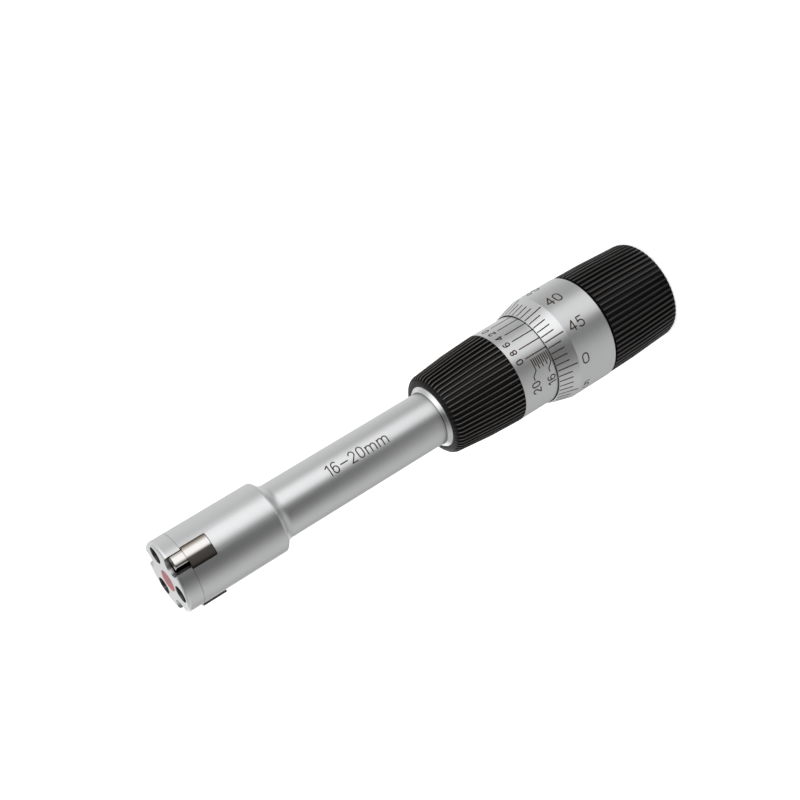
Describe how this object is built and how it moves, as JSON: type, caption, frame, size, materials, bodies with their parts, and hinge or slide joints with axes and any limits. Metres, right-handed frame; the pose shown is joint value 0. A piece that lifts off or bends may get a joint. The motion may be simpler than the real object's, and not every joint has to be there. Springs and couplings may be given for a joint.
{
  "type": "inside micrometer",
  "caption": "Three-point inside micrometer: measuring head with radial anvils on a slim tube, ribbed grip, graduated sleeve and thimble, ribbed ratchet knob.",
  "frame": {"origin": "centre of the knob's flat rear end, on which the tool stands", "axes": "+Z along the tool's axis towards the measuring head, -Y towards the side that carries the reading line"},
  "size_m": [0.0236, 0.0236, 0.1218],
  "materials": {
    "satin_chrome": "satin",
    "polished_carbide": "polished",
    "black_grip": "satin",
    "red_plastic": "matt",
    "dark_steel": "black oxide",
    "ground_steel": "ground",
    "spring_steel": "bright",
    "bush_bronze": "turned"
  },
  "bodies": {
    "frame": {"head_body": "satin_chrome", "end_cap": "satin_chrome", "cap_screws": "dark_steel", "centre_plug": "red_plastic", "rod_bush": "bush_bronze", "barrel": "satin_chrome", "front_grip": "black_grip", "sleeve": "satin_chrome", "adjusting_ring": "dark_steel", "leaf_spring_1": "spring_steel", "leaf_spring_2": "spring_steel", "leaf_spring_3": "spring_steel"},
    "push_rod": {"push_rod": "ground_steel", "measuring_cone": "ground_steel", "rod_spring": "spring_steel"},
    "thimble": {"thimble": "satin_chrome", "spindle": "ground_steel", "thrust_ball": "ground_steel", "ratchet_body": "ground_steel", "ratchet_washer": "dark_steel", "ratchet_screw": "dark_steel"},
    "knob": {"knob": "black_grip", "knob_end_disc": "black_grip", "pawl_ring": "ground_steel", "ratchet_spring": "spring_steel"},
    "anvil_1": {"anvil_1": "polished_carbide"},
    "anvil_2": {"anvil_2": "polished_carbide"},
    "anvil_3": {"anvil_3": "polished_carbide"}
  },
  "joints": [
    {"name": "rod_advance", "type": "slide", "parent": "frame", "child": "push_rod", "axis": [0, 0, 1], "range_m": [0, 0.00455], "deforming": ["rod_spring"]},
    {"name": "thimble_turn", "type": "hinge", "parent": "push_rod", "child": "thimble", "pos_m": [0, 0, 0.0185], "axis": [0, 0, 1], "range_deg": [0, 3310]},
    {"name": "ratchet_turn", "type": "hinge", "parent": "thimble", "child": "knob", "pos_m": [0, 0, 0], "axis": [0, 0, 1], "continuous": true},
    {"name": "anvil_1_slide", "type": "slide", "parent": "frame", "child": "anvil_1", "axis": [0.1994, -0.9799, 0], "range_m": [0, 0.0023], "deforming": ["leaf_spring_1"]},
    {"name": "anvil_2_slide", "type": "slide", "parent": "frame", "child": "anvil_2", "axis": [0.749, 0.6626, 0], "range_m": [0, 0.0023], "deforming": ["leaf_spring_2"]},
    {"name": "anvil_3_slide", "type": "slide", "parent": "frame", "child": "anvil_3", "axis": [-0.9483, 0.3173, 0], "range_m": [0, 0.0023], "deforming": ["leaf_spring_3"]}
  ],
  "couplings": [
    {"joint": "thimble_turn", "follows": "rod_advance", "rad_per_m": 12566},
    {"joint": "anvil_1_slide", "follows": "rod_advance", "ratio": 0.5},
    {"joint": "anvil_2_slide", "follows": "rod_advance", "ratio": 0.5},
    {"joint": "anvil_3_slide", "follows": "rod_advance", "ratio": 0.5}
  ]
}
